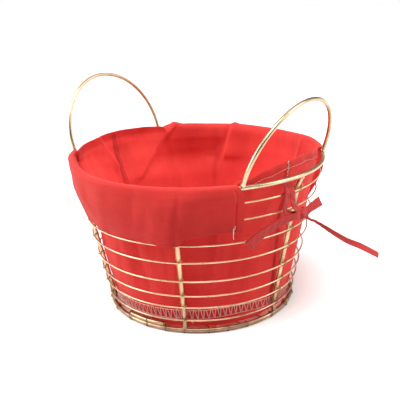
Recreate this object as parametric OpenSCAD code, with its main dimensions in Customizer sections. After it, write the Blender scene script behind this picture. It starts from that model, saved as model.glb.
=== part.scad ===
// Wire egg collection basket with a sewn cotton liner, two handles and side ties.
// A cone of rods and hoops stands on a base ring. +Z is up, the floor is z = 0,
// and the handles stand on the +X and -X sides of the rim.

/* [Frame rods] */
// Diameter of the rim, base ring, rib and handle rods
rod_d = 4; // [3:0.2:4]
// Diameter of the hoops and the base wires
hoop_d = 1.6; // [1.2:0.1:1.8]
// Diameter of the lashing wire
lash_d = 0.8; // [0.5:0.1:0.8]

/* [Basket cone] */
// Radius to the middle of the rim rod
rim_r = 125; // [122:0.5:128]
// Height of the middle of the rim rod
rim_z = 147.8; // [146:0.2:150]
// Radius to the middle of the base ring rod
base_r = 95.3; // [94:0.1:97]
// Height of the middle of the base ring rod
base_z = 2.95; // [2.9:0.05:3.2]

/* [Right handle] */
// Half of the distance between the feet
hr_half = 72; // [66:0.5:74]
// Height of the arch along its own plane
hr_rise = 68; // [64:0.5:74]
// Length of the straight legs
hr_leg = 5; // [3:0.5:6]
// Outward lean
hr_lean = 19.5; // [10:0.5:25]
// Turn of its middle away from the +X axis
hr_turn = -0.1; // [-1:0.1:1]

/* [Left handle] */
// Half of the distance between the feet
hl_half = 66; // [64:0.5:68]
// Height of the arch along its own plane
hl_rise = 79; // [76:0.5:82]
// Length of the straight legs
hl_leg = 12.8; // [11:0.2:14]
// Outward lean
hl_lean = 16.5; // [10:0.5:25]
// Turn of its middle away from the -X axis
hl_turn = 0.7; // [-1:0.1:1]

/* [Base wires] */
// Spacing of the base wires
base_pitch = 22; // [20:1:24]
// Wires on each side of the middle one
base_side = 3; // [2:1:3]

/* [Liner] */
// Thickness of the cloth solids
cloth_t = 1; // [0.8:0.1:1]
// Height of the bottom panel's middle
floor_z = 5.3; // [5.2:0.1:5.6]
// Height of the top of the fold over the rim
fold_z = 154.5; // [153:0.5:157]
// Height of the turned-down cuff's lower edge
cuff_z = 100; // [98:1:104]
// Height of the hem that stands between the feet of a handle
hem_z = 162.5; // [158:0.5:166]

/* [Ties] */
// Width of the folded cotton tie
tie_w = 7.5; // [6:0.5:8]
// Thickness of the tie
tie_t = 1; // [0.8:0.1:1.2]

/* [Hidden] */
$fn = 48;

wire_gold = "#c9a566";
cloth_red = "#d8403c";
thread_pink = "#e58a86";

// slope and lean of the cone
slope = (rim_r - base_r) / (rim_z - base_z);
lean = atan(slope);

// heights of the hoops, from the rim down
hoop_z = [134.0, 118.0, 95.4, 77.8, 58.0, 42.0, 29.0, 14.3];

// where the hand-set ribs stand round the base
rib_a = [-4.5, 57, 117, 177, 236, 297.8];

// radius of the hoops' middle at a height
function cone_r(z) = base_r + slope * (z - base_z);

// the ribs run inside the hoops and touch them
rib_in = (rod_d / 2 + hoop_d / 2 + 0.05) / cos(lean);
function rib_r(z) = cone_r(z) - rib_in;
rib_lo = 12;
rib_hi = 136;

// where a rod butted on a ring stops, from the middle of the ring's rod
butt = rod_d / 2 - 0.1;

// side seams of the liner
seam_r_a = -11;
seam_l_a = 178;
// where the cuffs end, beside the handles' feet
cuff_gap = 2;
foot_r = asin(hr_half / rim_r);
foot_l = asin(hl_half / rim_r);
front_a = [-180 + hl_turn + foot_l + cuff_gap, hr_turn - foot_r - cuff_gap];
back_a = [hr_turn + foot_r + cuff_gap, 180 + hl_turn - foot_l - cuff_gap];

// middle line of the liner's wall, up to just under the rim
wall = [
    [90.2, 8], [91.6, 16], [93.2, 25], [95.2, 34], [97.6, 57],
    [99.8, 77], [105, 105], [112, 128], [116.6, 143]
];
// over the rim and down outside the hoops
fold = [
    [118.6, 149.5], [121, fold_z - 1.5], [124.5, fold_z - 0.5], [127.4, fold_z - 2],
    [128.7, 148], [128.6, 140], [126.6, 122], [122.4, 107], [120.4, cuff_z]
];
// standing hem between the feet of a handle
hem = [[118.2, 150], [118.2, hem_z]];

// a point from its angle, radius and height
function P(a, r, z) = [r * cos(a), r * sin(a), z];

// routes of the ties: [angle, radius, height]
tie_r_front = [
    [-12.5, 118.6, 142.6], [-12.7, 122.5, 141], [-12.9, 125.2, 136.5],
    [-13.4, 124.6, 128], [-13.2, 122.6, 119.5], [-10.5, 122.6, 114.6],
    [-7, 124.4, 112.6]
];
tie_r_back = [
    [-9.2, 118.9, 142.2], [-9, 122.6, 140.4], [-8.9, 125.2, 135.6],
    [-8.6, 124.2, 128], [-7.9, 124, 122], [-6.2, 125.4, 117.4]
];
tie_r_bow = [
    [-6.4, 127.4, 111.6], [-9.5, 127.8, 112.6], [-13.5, 125.6, 112.6],
    [-18, 123.6, 110.6], [-22, 122.6, 104.6], [-25.6, 121.8, 96.4],
    [-29, 121, 89]
];
tie_r_end = [
    [-3.4, 128, 113.8], [-0.8, 129.3, 116.4], [1.8, 131, 118.2], [4.4, 132.8, 119.8]
];
tie_r_tail = [
    [-4, 128.6, 110], [-1.5, 128, 105.5], [2, 131, 101], [5.5, 135.5, 94.5],
    [9.7, 143, 85], [13.8, 153, 75], [17.4, 164, 67], [21.4, 181, 54]
];
tie_l_front = [
    [176.5, 118.6, 142.6], [176.3, 122.5, 141], [176.1, 125.2, 136.5],
    [175.6, 124.6, 128], [175.9, 122.8, 119.5], [178, 124.4, 114]
];
tie_l_back = [
    [179.8, 118.9, 142.2], [180, 122.6, 140.4], [180.1, 125.2, 135.6],
    [180.4, 124.2, 128], [181.4, 124, 122], [181.2, 125.6, 116.4]
];
tie_l_bow = [
    [182.6, 127.4, 110.6], [185.5, 127, 109], [188.6, 125, 104],
    [190.4, 123.6, 96], [191, 122, 87.6], [190.6, 120.4, 79]
];
tie_l_end = [
    [176.4, 127.4, 112.6], [173.6, 126.8, 113.2], [170, 126, 112], [166.8, 125.4, 109.6]
];
tie_l_tail = [
    [176.6, 127.2, 109.6], [174.6, 127.6, 105.6], [173.4, 126.4, 97],
    [172.6, 124.4, 86], [171.8, 122.4, 75], [171.4, 119.6, 63], [171.8, 116.8, 51],
    [172.4, 114.4, 39], [172.8, 112.6, 27.6]
];

// one ring of rod, its middle at radius r and height z
module ring(r, z, d, turn = 360) {
    translate([0, 0, z])
        rotate_extrude(angle = turn)
            translate([r, 0]) circle(d = d, $fn = 24);
}

// a straight round rod between two points
module rod(a, b, d) {
    v = b - a;
    l = norm(v);
    translate(a)
        rotate([0, acos(v[2] / l), atan2(v[1], v[0])])
            cylinder(h = l, d = d, $fn = 24);
}

// unit vector
function unit(v) = v / norm(v);

// direction of a line of points at index i
function along(p, i) = unit(p[min(i + 1, len(p) - 1)] - p[max(i - 1, 0)]);

// a point at share t between two points of a line, on a smooth curve through all
function spline(p, i, t) =
    let (a = p[max(i - 1, 0)], b = p[i], c = p[min(i + 1, len(p) - 1)])
    let (d = p[min(i + 2, len(p) - 1)])
    0.5 * (2 * b + (c - a) * t + (2 * a - 5 * b + 4 * c - d) * t * t
        + (3 * b - a - 3 * c + d) * t * t * t);

// the smooth line with n steps between two route points
function smooth(p, n) = concat(
    [for (i = [0 : len(p) - 2]) for (k = [0 : n - 1]) spline(p, i, k / n)],
    [p[len(p) - 1]]
);

// outline of a flat ribbon: across, then through its thickness
function ribbon_outline(w, t) = [
    [-w / 2, -t / 4], [-w / 2 + t / 2, -t / 2], [w / 2 - t / 2, -t / 2], [w / 2, -t / 4],
    [w / 2, t / 4], [w / 2 - t / 2, t / 2], [-w / 2 + t / 2, t / 2], [-w / 2, t / 4]
];

// a ribbon swept along a route, lying flat against the basket
module ribbon(route, w, t, n = 3) {
    line = smooth([for (q = route) P(q[0], q[1], q[2])], n);
    shape = ribbon_outline(w, t);
    m = len(shape);
    last = len(line) - 1;
    points = [
        for (i = [0 : last])
            let (f = along(line, i), out = unit([line[i][0], line[i][1], 0]))
            let (side = unit(cross(f, out)), up = cross(side, f))
            for (s = shape) line[i] + s[0] * side + s[1] * up
    ];
    sides = [
        for (i = [0 : last - 1]) for (k = [0 : m - 1])
            let (k2 = (k + 1) % m)
            [i * m + k, i * m + k2, (i + 1) * m + k2, (i + 1) * m + k]
    ];
    start = [for (k = [m - 1 : -1 : 0]) k];
    finish = [for (k = [0 : m - 1]) last * m + k];
    polyhedron(points, concat([start], sides, [finish]), convexity = 6);
}

// closed outline of cloth of thickness t about a line in the r-z plane
function cloth_outline(p, t) =
    let (n = len(p))
    let (
        off = [
            for (i = [0 : n - 1])
                let (d = along(p, i)) [d[1], -d[0]] * t / 2
        ]
    )
    concat(
        [for (i = [0 : n - 1]) p[i] + off[i]],
        [for (i = [n - 1 : -1 : 0]) p[i] - off[i]]
    );

// cloth turned from one angle to another
module cloth(line, a0, a1, t = cloth_t) {
    rotate([0, 0, a0])
        rotate_extrude(angle = a1 - a0)
            polygon(cloth_outline(line, t));
}

module rim_ring() {
    color(wire_gold) ring(rim_r, rim_z, rod_d);
}

// the base ring's end is lapped on top of its own start
module base_ring() {
    color(wire_gold) {
        ring(base_r, base_z, rod_d);
        rotate([0, 0, -99.5]) ring(base_r, base_z + rod_d + 0.02, rod_d, 25);
    }
}

module hoop(i) {
    color(wire_gold) ring(cone_r(hoop_z[i]), hoop_z[i], hoop_d);
}

// a bent round rod along points that lie in one plane, whose normal is given
module bent_rod(line, normal, d, sides = 12) {
    last = len(line) - 1;
    points = [
        for (i = [0 : last])
            let (f = along(line, i), b = cross(f, normal))
            for (k = [0 : sides - 1])
                let (w = 360 * k / sides)
                line[i] + (cos(w) * normal + sin(w) * b) * d / 2
    ];
    faces = [
        for (i = [0 : last - 1]) for (k = [0 : sides - 1])
            let (k2 = (k + 1) % sides)
            [i * sides + k2, i * sides + k, (i + 1) * sides + k, (i + 1) * sides + k2]
    ];
    start = [for (k = [0 : sides - 1]) k];
    finish = [for (k = [sides - 1 : -1 : 0]) last * sides + k];
    polyhedron(points, concat([start], faces, [finish]), convexity = 6);
}

// a point part of the way from a to b, a distance g from a
function toward(a, b, g) = a + unit(b - a) * g;

// one rib: foot on the base ring, straight run, top bent out to the rim
module rib(i) {
    foot = [base_r, 0, base_z];
    low = [rib_r(rib_lo), 0, rib_lo];
    high = [rib_r(rib_hi), 0, rib_hi];
    top = [rim_r, 0, rim_z];
    color(wire_gold)
        rotate([0, 0, rib_a[i]])
            bent_rod([
                toward(foot, low, butt), toward(low, foot, 2.5), toward(low, foot, 0.8),
                toward(low, high, 0.8), toward(low, high, 2.5), toward(high, low, 3),
                toward(high, low, 1), toward(high, top, 1), toward(high, top, 3),
                toward(top, high, butt)
            ], [0, 1, 0], rod_d);
}

// one diagonal turn of lashing wire over a hoop and round the rib behind it
module lash_turn(z, tilt) {
    translate([rib_r(z), 0, z])
        rotate([0, lean, 0])
            translate([0.85, 0, 0])
                rotate([tilt, 0, 0])
                    rotate_extrude()
                        translate([3.4, 0]) circle(d = lash_d, $fn = 16);
}

// the lashing of one rib: a wire up its side and a turn at each hoop
module rib_lashing(i) {
    color(wire_gold)
        rotate([0, 0, rib_a[i]]) {
            for (k = [0 : len(hoop_z) - 1]) lash_turn(hoop_z[k], 38 + 3 * ((k + i) % 3));
            rod(
                [rib_r(11.6) - 1.3, -2.02, 11.6],
                [rib_r(134.5) - 1.3, -2.02, 134.5],
                lash_d
            );
        }
}

// loose turns of wire round the base ring, closest together over the lap
base_turns = [
    -115, -99.4, -86, -74, -62.7, -48.7, -38, -26.2, -8, 8.5, 24, 41, 57, 74, 92, 108,
    124, 143, 160, 177, 195, 211, 228
];
module base_lashing() {
    color(wire_gold)
        for (i = [0 : len(base_turns) - 1])
            let (a = base_turns[i])
            let (lap = a > -100 && a < -73)
            rotate([0, 0, a])
                translate([base_r, 0, base_z + (lap ? 2.02 : 0)])
                    rotate([0, 0, 4 + 5 * (i % 4)])
                        if (lap) lap_turn();
                        else
                            rotate([90, 0, 0])
                                rotate_extrude()
                                    translate([2.55, 0]) circle(d = lash_d, $fn = 16);
}

// a long turn round both rods of the lap
module lap_turn() {
    for (s = [-1, 1]) {
        translate([0, 0, 2.01 * s])
            rotate([90, 0, 0])
                rotate([0, 0, s > 0 ? 0 : 180])
                    rotate_extrude(angle = 180)
                        translate([2.55, 0]) circle(d = lash_d, $fn = 16);
        translate([2.55 * s, 0, -2.01]) cylinder(h = 4.02, d = lash_d, $fn = 16);
    }
}

// straight wires across the base, between the ring's inner sides
module base_wires(z) {
    for (i = [-base_side : base_side])
        let (y = i * base_pitch)
        let (x = sqrt(pow(base_r - rod_d / 2 + 0.05, 2) - y * y))
        rod([-x, y, z], [x, y, z], hoop_d);
}
module base_wires_lower() {
    color(wire_gold) base_wires(2.1);
}
module base_wires_upper() {
    color(wire_gold) rotate([0, 0, 90]) base_wires(2.15 + hoop_d);
}

// the middle line of an arch in the X-Y plane: feet at y = +-half, top at x = rise
function arch(half, rise, leg) = concat(
    [[butt, -half, 0]],
    [for (t = [-90 : 4 : 90]) [leg + (rise - leg) * cos(t), half * sin(t), 0]],
    [[butt, half, 0]]
);

// a handle on the rim: the arch leans outward about the line through its feet
module handle(half, rise, leg, out, turn) {
    x = sqrt(rim_r * rim_r - half * half);
    color(wire_gold)
        rotate([0, 0, turn])
            translate([x, 0, rim_z])
                rotate([0, out - 90, 0])
                    bent_rod(arch(half, rise, leg), [0, 0, 1], rod_d);
}
module handle_right() {
    handle(hr_half, hr_rise, hr_leg, hr_lean, hr_turn);
}
module handle_left() {
    handle(hl_half, hl_rise, hl_leg, hl_lean, 180 + hl_turn);
}

// a panel: the stretch with the cuff between the handles' feet, and a stretch with a
// standing hem on each side of it, met edge to edge
module panel(a0, a1, c0, c1) {
    cloth(concat(wall, fold), c0, c1);
    cloth(concat(wall, hem), a0, c0 - 0.02);
    cloth(concat(wall, hem), c1 + 0.02, a1);
}
module liner_front_panel() {
    color(cloth_red) panel(seam_l_a - 360 + 0.2, seam_r_a - 0.2, front_a[0], front_a[1]);
}
module liner_back_panel() {
    color(cloth_red) panel(seam_r_a + 0.2, seam_l_a - 0.2, back_a[0], back_a[1]);
}
module liner_bottom_panel() {
    color(cloth_red)
        rotate_extrude()
            polygon([
                [0, floor_z - cloth_t / 2], [88, floor_z - cloth_t / 2],
                [90.6, floor_z + 1], [90.4, 7.4], [89.4, 7.4], [89.2, floor_z + 1.5],
                [87.6, floor_z + cloth_t / 2], [0, floor_z + cloth_t / 2]
            ]);
}

// threads lie on the cloth's outer face
function shifted(p, d) = [for (q = p) [q[0] + d, q[1]]];
module bottom_seam_thread() {
    color(thread_pink)
        rotate_extrude()
            polygon(cloth_outline(
                shifted([[90.55, 10], [91.6, 16], [92.8, 22.5]], cloth_t / 2 + 0.3), 0.4
            ));
}
module side_seam_thread(a) {
    line = [
        [92.9, 24], [95.2, 34], [97.6, 57], [99.8, 77], [105, 105], [112, 128],
        [116.6, 143], [118.2, 150], [118.2, hem_z]
    ];
    color(thread_pink)
        cloth(shifted(line, cloth_t / 2 + 0.35), a - 1.4, a + 1.4, 0.4);
}
module side_seam_thread_right() {
    side_seam_thread(seam_r_a);
}
module side_seam_thread_left() {
    side_seam_thread(seam_l_a);
}

// the two halves of a tie, from the side seam over the top hoop to the knot
module tie_strap(front, back) {
    color(cloth_red) {
        ribbon(front, tie_w * 0.6, tie_t);
        ribbon(back, tie_w * 0.6, tie_t);
    }
}

// the knot in front of the rib
module tie_knot(a, r, z) {
    color(cloth_red)
        rotate([0, 0, a])
            translate([r, 0, z])
                rotate([0, 90, 0])
                    rotate_extrude()
                        translate([2.2, 0]) circle(r = 2.1, $fn = 24);
}
module tie_right_strap() {
    tie_strap(tie_r_front, tie_r_back);
}
module tie_right_knot() {
    tie_knot(-4.8, 126.4, 112.6);
}
module tie_right_bow() {
    color(cloth_red) ribbon(tie_r_bow, tie_w, tie_t * 1.8);
}
module tie_right_short_end() {
    color(cloth_red) ribbon(tie_r_end, tie_w, tie_t);
}
module tie_right_long_tail() {
    color(cloth_red) ribbon(tie_r_tail, tie_w * 0.8, tie_t);
}
module tie_left_strap() {
    tie_strap(tie_l_front, tie_l_back);
}
module tie_left_knot() {
    tie_knot(179.5, 126.6, 111);
}
module tie_left_bow() {
    color(cloth_red) ribbon(tie_l_bow, tie_w, tie_t * 1.8);
}
module tie_left_short_end() {
    color(cloth_red) ribbon(tie_l_end, tie_w, tie_t);
}
module tie_left_long_tail() {
    color(cloth_red) ribbon(tie_l_tail, tie_w * 0.8, tie_t);
}

rim_ring();
base_ring();
hoop(0);  // hoop_1
hoop(1);  // hoop_2
hoop(2);  // hoop_3
hoop(3);  // hoop_4
hoop(4);  // hoop_5
hoop(5);  // hoop_6
hoop(6);  // hoop_7
hoop(7);  // hoop_8
rib(0);  // rib_1
rib(1);  // rib_2
rib(2);  // rib_3
rib(3);  // rib_4
rib(4);  // rib_5
rib(5);  // rib_6
rib_lashing(0);  // rib_lashing_1
rib_lashing(1);  // rib_lashing_2
rib_lashing(2);  // rib_lashing_3
rib_lashing(3);  // rib_lashing_4
rib_lashing(4);  // rib_lashing_5
rib_lashing(5);  // rib_lashing_6
base_lashing();
base_wires_lower();
base_wires_upper();
handle_right();
handle_left();
liner_front_panel();
liner_back_panel();
liner_bottom_panel();
bottom_seam_thread();
side_seam_thread_right();
side_seam_thread_left();
tie_right_strap();
tie_right_knot();
tie_right_bow();
tie_right_short_end();
tie_right_long_tail();
tie_left_strap();
tie_left_knot();
tie_left_bow();
tie_left_short_end();
tie_left_long_tail();
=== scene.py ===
"""Looks of a wire egg basket with a sewn cotton liner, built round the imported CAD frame.

Places are cylindrical: an angle in degrees round +Z, a radius and a height in millimetres.
The two handles stand over +X and -X, and the camera looks from the -Y side.
"""

import math
import random

import bpy
import numpy as np
from mathutils import Matrix, Vector


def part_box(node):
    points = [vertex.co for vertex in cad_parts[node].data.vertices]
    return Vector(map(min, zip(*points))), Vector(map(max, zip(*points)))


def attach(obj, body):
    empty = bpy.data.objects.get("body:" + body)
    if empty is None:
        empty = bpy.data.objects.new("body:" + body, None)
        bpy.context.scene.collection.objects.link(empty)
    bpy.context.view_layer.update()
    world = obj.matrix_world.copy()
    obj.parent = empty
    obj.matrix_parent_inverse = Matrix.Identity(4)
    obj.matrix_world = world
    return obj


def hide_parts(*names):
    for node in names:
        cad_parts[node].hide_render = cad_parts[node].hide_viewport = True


MM = 0.001
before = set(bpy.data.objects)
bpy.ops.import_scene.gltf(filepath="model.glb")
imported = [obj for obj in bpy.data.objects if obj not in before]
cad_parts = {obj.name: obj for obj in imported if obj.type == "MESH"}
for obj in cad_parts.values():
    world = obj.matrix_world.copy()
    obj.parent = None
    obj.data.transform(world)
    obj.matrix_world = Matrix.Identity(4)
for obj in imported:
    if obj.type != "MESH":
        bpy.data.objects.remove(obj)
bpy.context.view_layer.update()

# ---------------- sizes from the frame


def box_mm(node):
    """A CAD node's lowest and highest corners, in millimetres."""
    low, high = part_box(node)
    return low / MM, high / MM


ROD_R = (box_mm("rim_ring")[1].z - box_mm("rim_ring")[0].z) / 2
RIM_R = box_mm("rim_ring")[1].x - ROD_R
RIM_Z = box_mm("rim_ring")[1].z - ROD_R
HOOP_R = (box_mm("hoop_1")[1].z - box_mm("hoop_1")[0].z) / 2
HOOP_Z = [(box_mm(f"hoop_{i}")[0].z + box_mm(f"hoop_{i}")[1].z) / 2 for i in range(1, 9)]
BASE_Z = box_mm("base_ring")[0].z + ROD_R
BASE_R = (box_mm("base_ring")[1].x - box_mm("base_ring")[0].x) / 2 - ROD_R
SLOPE = (RIM_R - BASE_R) / (RIM_Z - BASE_Z)
LEAN = math.atan(SLOPE)
RIB_ANGLES = [-4.5, 57, 117, 177, 236, 297.8]
RIB_INSET = (ROD_R + HOOP_R + 0.05) / math.cos(LEAN)
LASH_R = 0.4


def cone_r(z):
    """Radius of the hoops' middle at a height."""
    return BASE_R + SLOPE * (z - BASE_Z)


def rib_r(z):
    """Radius of the ribs' middle at a height."""
    return cone_r(z) - RIB_INSET


# ---------------- small maths helpers


def polar(angle, radius, height):
    """A point in millimetres from its angle, radius and height."""
    a = math.radians(angle)
    return Vector((radius * math.cos(a), radius * math.sin(a), height))


def keyed(x, keys):
    """A smooth value at x between (x, value) keys, flat past the first and the last."""
    if x <= keys[0][0]:
        return keys[0][1]
    for (x0, v0), (x1, v1) in zip(keys, keys[1:]):
        if x <= x1:
            t = (x - x0) / (x1 - x0)
            t = t * t * (3 - 2 * t)
            return v0 + (v1 - v0) * t
    return keys[-1][1]


def bell(x, middle, width):
    """1 at middle, falling smoothly to nothing about two widths away."""
    return math.exp(-(((x - middle) / width) ** 2))


def smooth_step(x, low, high):
    """0 below low, 1 above high, smooth between."""
    t = min(1.0, max(0.0, (x - low) / (high - low)))
    return t * t * (3 - 2 * t)


def curve_between(a, b, c, d, t):
    """The smooth curve from b to c at share t, with a before them and d after them."""
    return 0.5 * (2 * b + (c - a) * t + (2 * a - 5 * b + 4 * c - d) * t * t
                  + (3 * b - a - 3 * c + d) * t * t * t)


def keyed_line(x, keys):
    """A value on a smooth curve through (x, value) keys, without flats at them."""
    last = len(keys) - 2
    i = next((j for j in range(last) if x <= keys[j + 1][0]), last)
    near = [keys[min(max(j, 0), last + 1)][1] for j in range(i - 1, i + 3)]
    return curve_between(*near, (x - keys[i][0]) / (keys[i + 1][0] - keys[i][0]))


def wrap(angle):
    """The same angle, between -180 and 180 degrees."""
    return (angle + 180) % 360 - 180


def spline(points, steps):
    """The smooth line through points, with steps between two of them."""
    out = []
    for i in range(len(points) - 1):
        a = points[max(i - 1, 0)]
        b, c = points[i], points[i + 1]
        d = points[min(i + 2, len(points) - 1)]
        out.extend(curve_between(a, b, c, d, k / steps) for k in range(steps))
    out.append(points[-1].copy())
    return out


def wave_noise(seed, count, low, high):
    """A smooth repeatable ripple over an angle in degrees: a sum of whole-turn waves."""
    rng = random.Random(seed)
    waves = [(rng.randint(low, high), rng.uniform(0, 2 * math.pi), rng.uniform(0.4, 1))
             for _ in range(count)]
    total = sum(w[2] for w in waves)

    def value(angle):
        a = math.radians(angle)
        return sum(s * math.sin(n * a + p) for n, p, s in waves) / total

    return value


# ---------------- mesh helpers


def make_mesh(name, verts_mm, faces, material, uvs=None, smooth=True):
    """A mesh object from points in millimetres. uvs are one pair per vertex, in metres."""
    mesh = bpy.data.meshes.new(name)
    mesh.from_pydata([tuple(v * MM) for v in verts_mm], [], faces)
    mesh.validate()
    if uvs is not None:
        layer = mesh.uv_layers.new(name="cloth")
        for loop in mesh.loops:
            layer.data[loop.index].uv = uvs[loop.vertex_index]
    mesh.polygons.foreach_set("use_smooth", [smooth] * len(mesh.polygons))
    mesh.materials.append(material)
    obj = bpy.data.objects.new(name, mesh)
    bpy.context.scene.collection.objects.link(obj)
    return obj


def grid_faces(rows, columns, first=0, close_rows=False, close_columns=True, flip=False):
    """Faces of a grid of points that were added row by row, from point first on."""
    faces = []
    for i in range(rows if close_rows else rows - 1):
        a, b = first + i * columns, first + (i + 1) % rows * columns
        for k in range(columns if close_columns else columns - 1):
            k2 = (k + 1) % columns
            if flip:
                faces.append((a + k, a + k2, b + k2, b + k))
            else:
                faces.append((a + k, b + k, b + k2, a + k2))
    return faces


def finish_piece(obj, slot, *replaced):
    """Ride on the frame and stand for CAD nodes. slot is not used."""
    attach(obj, "root")
    if replaced:
        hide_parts(*replaced)
    return obj


def frames_along(line):
    """Direction, side and up at each point of a line, without sudden turns."""
    count = len(line)
    tangents = []
    for i in range(count):
        tangents.append((line[min(i + 1, count - 1)] - line[max(i - 1, 0)]).normalized())
    first = Vector((0, 0, 1)) if abs(tangents[0].z) < 0.9 else Vector((1, 0, 0))
    side = tangents[0].cross(first).normalized()
    out = []
    for t in tangents:
        side = (side - t * side.dot(t)).normalized()
        out.append((t, side, t.cross(side)))
    return out


class Builder:
    """Collects points and faces of several tubes into one mesh."""

    def __init__(self):
        self.verts = []
        self.faces = []

    def tube(self, line, radius, sides=8):
        """A round tube with closed ends. radius is a number or one number a point."""
        start = len(self.verts)
        radii = radius if hasattr(radius, "__len__") else [radius] * len(line)
        for p, (_, side, up), r in zip(line, frames_along(line), radii):
            for k in range(sides):
                w = 2 * math.pi * k / sides
                self.verts.append(p + (side * math.cos(w) + up * math.sin(w)) * r)
        self.faces += grid_faces(len(line), sides, start, flip=True)
        end = start + (len(line) - 1) * sides
        self.faces.append(tuple(start + k for k in reversed(range(sides))))
        self.faces.append(tuple(end + k for k in range(sides)))

    def make(self, name, material):
        return make_mesh(name, self.verts, self.faces, material)


# ---------------- materials


class Nodes:
    """A short way to fill the node tree of a new material or world."""

    def __init__(self, owner):
        owner.use_nodes = True
        self.owner = owner
        self.tree = owner.node_tree
        self.shader = self.tree.nodes.get("Principled BSDF")

    def shade(self, **values):
        """Constants on the shader's sockets, by name with _ for a space."""
        for name, value in values.items():
            self.shader.inputs[name.replace("_", " ")].default_value = value

    def add(self, kind, **settings):
        node = self.tree.nodes.new(kind)
        for key, value in settings.items():
            setattr(node, key, value)
        return node

    def join(self, source, target):
        self.tree.links.new(source, target)

    def math(self, operation, a, b=None):
        node = self.add("ShaderNodeMath", operation=operation)
        for socket, value in zip(node.inputs, (a, b)):
            if value is None:
                continue
            if isinstance(value, (int, float)):
                socket.default_value = value
            else:
                self.join(value, socket)
        return node.outputs[0]

    def scaled(self, vector, scale):
        node = self.add("ShaderNodeVectorMath", operation="MULTIPLY")
        self.join(vector, node.inputs[0])
        node.inputs[1].default_value = scale
        return node.outputs[0]

    def noise(self, vector, scale, detail=3.0, rough=0.5):
        node = self.add("ShaderNodeTexNoise")
        self.join(vector, node.inputs["Vector"])
        node.inputs["Scale"].default_value = scale
        node.inputs["Detail"].default_value = detail
        node.inputs["Roughness"].default_value = rough
        return node.outputs["Fac"]

    def ramp(self, value, stops):
        node = self.add("ShaderNodeValToRGB")
        self.join(value, node.inputs[0])
        elements = node.color_ramp.elements
        while len(elements) < len(stops):
            elements.new(0.5)
        for element, (place, colour) in zip(elements, stops):
            element.position = place
            element.color = (*colour, 1)
        return node.outputs[0]

    def mix(self, share, a, b, blend="MIX"):
        node = self.add("ShaderNodeMix", data_type="RGBA", blend_type=blend)
        for socket, value in ((node.inputs[0], share), (node.inputs[6], a), (node.inputs[7], b)):
            if isinstance(value, (int, float)):
                socket.default_value = value
            elif isinstance(value, tuple):
                socket.default_value = (*value, 1)
            else:
                self.join(value, socket)
        return node.outputs[2]

    def bump(self, height, distance, strength, before=None):
        node = self.add("ShaderNodeBump")
        node.inputs["Strength"].default_value = strength
        node.inputs["Distance"].default_value = distance
        self.join(height, node.inputs["Height"])
        if before is not None:
            self.join(before, node.inputs["Normal"])
        return node.outputs[0]


def brass(name, light, dark, dark_tone, rough):
    """Drawn brass wire: colour drifting from light to dark, tarnished in small spots."""
    n = Nodes(bpy.data.materials.new(name))
    place = n.add("ShaderNodeTexCoord").outputs["Object"]
    drift = n.noise(place, 45, 3)
    base = n.ramp(drift, [(0.35, dark), (0.65, light)])
    spots = n.noise(place, 420, 4, 0.6)
    spot_mask = n.ramp(spots, [(0.6, (0, 0, 0)), (0.72, (1, 1, 1))])
    spotted = n.mix(spot_mask, base, dark_tone)
    # the foot of the basket is darker, in patches: lower down the colour goes towards the dark tone
    axes = n.add("ShaderNodeSeparateXYZ")
    n.join(place, axes.inputs[0])
    height = n.math("MULTIPLY", axes.outputs[2], 9.0)
    low_darkening = n.math("SUBTRACT", n.noise(place, 130, 4, 0.6), height)
    low_darkening_mask = n.ramp(low_darkening, [(0.18, (0, 0, 0)), (0.52, (0.75, 0.75, 0.75))])
    n.join(n.mix(low_darkening_mask, spotted, dark_tone), n.shader.inputs["Base Color"])
    scratch = n.noise(place, 900, 3, 0.6)
    rough_low = n.math("MULTIPLY", scratch, 0.22)
    n.join(n.math("ADD", rough_low, rough), n.shader.inputs["Roughness"])
    n.join(n.bump(scratch, 0.00005, 0.25), n.shader.inputs["Normal"])
    n.shade(Metallic=1.0)
    return n.owner


THREAD_PITCH = 0.00052  # of the weave, in metres


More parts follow.
